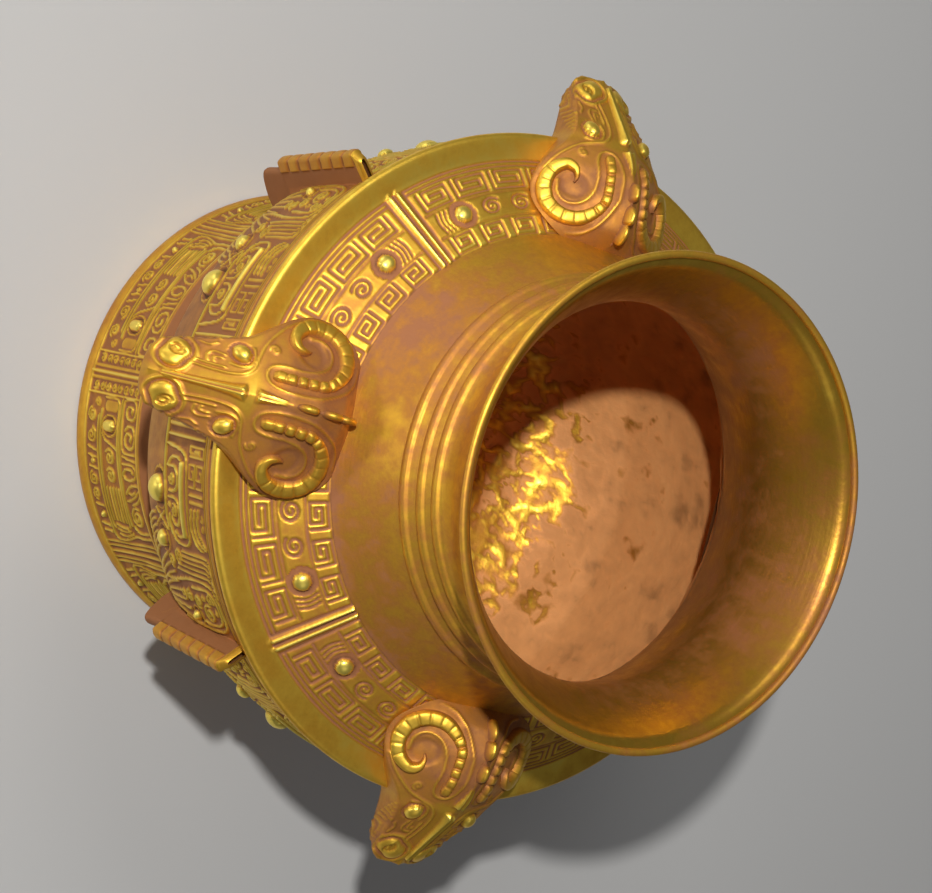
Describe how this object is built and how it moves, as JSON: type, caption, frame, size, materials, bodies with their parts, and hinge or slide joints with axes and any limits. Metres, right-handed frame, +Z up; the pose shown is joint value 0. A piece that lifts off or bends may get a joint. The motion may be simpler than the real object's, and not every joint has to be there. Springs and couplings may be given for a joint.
{
  "type": "wine jar",
  "caption": "Gilt bronze wine jar with a wide flared mouth, sharp shoulder and high foot ring, ram heads over the shoulder edge and toothed flanges between them.",
  "frame": {"origin": "centre of the flat underside of the foot ring", "axes": "+Z up along the jar's axis to the mouth; the middle of one ram head faces -Y and the others face +X, +Y and -X; the flanges stand half-way between them"},
  "size_m": [0.347, 0.347, 0.3013],
  "materials": {
    "gilt_bronze": "gilt cast bronze, rubbed bright on the high parts and plain areas, with pinkish red earth-like patina in the recesses and a rough cast inside"
  },
  "bodies": {
    "root": {"jar": "gilt_bronze"}
  },
  "joints": []
}
